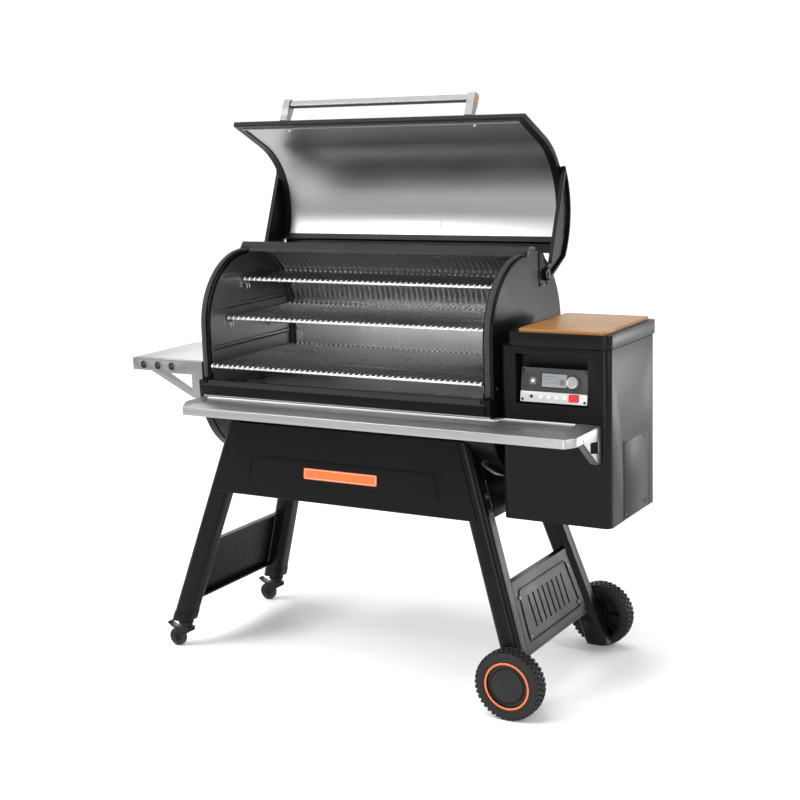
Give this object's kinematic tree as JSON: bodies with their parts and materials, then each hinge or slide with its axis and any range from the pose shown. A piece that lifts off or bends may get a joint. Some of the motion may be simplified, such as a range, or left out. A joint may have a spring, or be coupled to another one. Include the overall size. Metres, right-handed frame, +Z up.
{
  "type": "pellet smoker grill",
  "caption": "Barrel smoker grill with hinged lid, pull-out grates, pellet hopper with controller, shelves, splayed legs, wheels and braked casters.",
  "frame": {"origin": "centre of the bounding box's bottom face, on the floor", "axes": "+X towards the hopper end, -Y towards the front shelf and the user, +Z up"},
  "size_m": [1.5026, 0.6956, 1.5809],
  "materials": {
    "black_coat": "satin powder coat",
    "stainless": "brushed",
    "stainless_bright": "brushed",
    "gasket": "woven rope",
    "orange": "satin",
    "bamboo": "oiled",
    "grate_steel": "satin",
    "rubber": "matt",
    "black_plastic": "matt",
    "caster_plastic": "matt",
    "display_glass": "gloss",
    "red_plastic": "gloss",
    "button_plastic": "satin",
    "bolt_steel": "satin",
    "steel": "satin"
  },
  "bodies": {
    "frame": {"end_plates": "black_coat", "chamber_liner": "stainless", "barrel_shell": "black_coat", "rim_gaskets": "gasket", "back_vent_panel": "stainless", "front_sill": "black_coat", "front_shelf": "stainless_bright", "side_shelf": "stainless_bright", "legs_left": "black_coat", "legs_right": "black_coat", "leg_caps": "black_coat", "leg_braces": "black_coat", "front_apron": "black_coat", "skirt_panels": "black_coat", "wheel_axle": "black_coat", "drip_tray": "stainless", "heat_baffle": "steel", "firepot": "steel", "igniter": "steel", "auger_tube": "steel", "auger_motor": "black_plastic", "fan_housing": "black_plastic", "temperature_probe": "stainless", "grate_brackets": "stainless", "hinge_brackets": "black_coat", "hopper_body": "black_coat", "service_cover": "black_coat", "pellet_bin": "steel", "controller_case": "black_plastic", "display_window": "display_glass", "frame_bolts": "bolt_steel", "power_inlet": "black_plastic"},
    "lid": {"lid_shell": "black_coat", "lid_liner": "stainless_bright", "lid_arms": "black_coat", "lid_bolts": "bolt_steel", "lid_handle": "stainless_bright"},
    "bottom_rack": {"bottom_grate": "grate_steel"},
    "middle_rack": {"middle_grate": "grate_steel"},
    "top_rack": {"top_grate": "grate_steel"},
    "hopper_cover": {"hopper_lid": "black_coat", "bamboo_board": "bamboo"},
    "knob": {"control_knob": "black_plastic"},
    "menu_key_1": {"menu_button_1": "button_plastic"},
    "menu_key_2": {"menu_button_2": "button_plastic"},
    "menu_key_3": {"menu_button_3": "button_plastic"},
    "menu_key_4": {"menu_button_4": "button_plastic"},
    "start_key": {"start_button": "red_plastic"},
    "front_wheel": {"front_tyre": "rubber", "front_wheel_hub": "black_plastic"},
    "back_wheel": {"back_tyre": "rubber", "back_wheel_hub": "black_plastic"},
    "front_caster": {"front_caster_fork": "black_coat"},
    "front_caster_roller": {"front_caster_wheel": "caster_plastic"},
    "front_caster_pedal": {"front_caster_brake": "black_plastic"},
    "back_caster": {"back_caster_fork": "black_coat"},
    "back_caster_roller": {"back_caster_wheel": "caster_plastic"},
    "back_caster_pedal": {"back_caster_brake": "black_plastic"},
    "auger": {"auger_screw": "steel"},
    "fan": {"fan_impeller": "black_plastic"}
  },
  "joints": [
    {"name": "lid_hinge", "type": "hinge", "parent": "frame", "child": "lid", "pos_m": [-0.0343, 0.14975, 1.093], "axis": [-1, 0, 0], "range_deg": [-116.5, 0]},
    {"name": "bottom_rack_slide", "type": "slide", "parent": "frame", "child": "bottom_rack", "axis": [0, -1, 0], "range_m": [0, 0.36]},
    {"name": "middle_rack_slide", "type": "slide", "parent": "frame", "child": "middle_rack", "axis": [0, -1, 0], "range_m": [0, 0.28]},
    {"name": "top_rack_slide", "type": "slide", "parent": "frame", "child": "top_rack", "axis": [0, -1, 0], "range_m": [0, 0.17]},
    {"name": "hopper_lid_hinge", "type": "hinge", "parent": "frame", "child": "hopper_cover", "pos_m": [0.6057, 0.15925, 0.945], "axis": [-1, 0, 0], "range_deg": [0, 95]},
    {"name": "knob_turn", "type": "hinge", "parent": "frame", "child": "knob", "pos_m": [0.6477, -0.15413, 0.86097], "axis": [0, -0.9885, 0.1513], "continuous": true},
    {"name": "menu_button_1_press", "type": "slide", "parent": "frame", "child": "menu_key_1", "axis": [0, 0.9885, -0.1513], "range_m": [0, 0.0015], "stiffness_N_per_m": 300, "springref_m": -0.001},
    {"name": "menu_button_2_press", "type": "slide", "parent": "frame", "child": "menu_key_2", "axis": [0, 0.9885, -0.1513], "range_m": [0, 0.0015], "stiffness_N_per_m": 300, "springref_m": -0.001},
    {"name": "menu_button_3_press", "type": "slide", "parent": "frame", "child": "menu_key_3", "axis": [0, 0.9885, -0.1513], "range_m": [0, 0.0015], "stiffness_N_per_m": 300, "springref_m": -0.001},
    {"name": "menu_button_4_press", "type": "slide", "parent": "frame", "child": "menu_key_4", "axis": [0, 0.9885, -0.1513], "range_m": [0, 0.0015], "stiffness_N_per_m": 300, "springref_m": -0.001},
    {"name": "start_button_press", "type": "slide", "parent": "frame", "child": "start_key", "axis": [0, 0.9885, -0.1513], "range_m": [0, 0.0015], "stiffness_N_per_m": 300, "springref_m": -0.001},
    {"name": "front_wheel_spin", "type": "hinge", "parent": "frame", "child": "front_wheel", "pos_m": [0.5177, -0.28175, 0.093], "axis": [0, 1, 0], "continuous": true},
    {"name": "back_wheel_spin", "type": "hinge", "parent": "frame", "child": "back_wheel", "pos_m": [0.5177, 0.32375, 0.093], "axis": [0, 1, 0], "continuous": true},
    {"name": "front_caster_swivel", "type": "hinge", "parent": "frame", "child": "front_caster", "pos_m": [-0.58079, -0.21047, 0.09], "axis": [0, 0, 1], "continuous": true},
    {"name": "front_caster_roll", "type": "hinge", "parent": "front_caster", "child": "front_caster_roller", "pos_m": [-0.61279, -0.21047, 0.027], "axis": [0, 1, 0], "continuous": true},
    {"name": "front_caster_brake_tilt", "type": "hinge", "parent": "front_caster", "child": "front_caster_pedal", "pos_m": [-0.60079, -0.21047, 0.057], "axis": [0, -1, 0], "range_deg": [-10, 0]},
    {"name": "back_caster_swivel", "type": "hinge", "parent": "frame", "child": "back_caster", "pos_m": [-0.58079, 0.25697, 0.09], "axis": [0, 0, 1], "continuous": true},
    {"name": "back_caster_roll", "type": "hinge", "parent": "back_caster", "child": "back_caster_roller", "pos_m": [-0.61279, 0.25697, 0.027], "axis": [0, 1, 0], "continuous": true},
    {"name": "back_caster_brake_tilt", "type": "hinge", "parent": "back_caster", "child": "back_caster_pedal", "pos_m": [-0.60079, 0.25697, 0.057], "axis": [0, -1, 0], "range_deg": [-10, 0]},
    {"name": "auger_turn", "type": "hinge", "parent": "frame", "child": "auger", "pos_m": [0.3507, 0.03625, 0.64], "axis": [1, 0, 0], "continuous": true},
    {"name": "fan_turn", "type": "hinge", "parent": "frame", "child": "fan", "pos_m": [0.5857, -0.03875, 0.558], "axis": [0, 1, 0], "continuous": true}
  ]
}
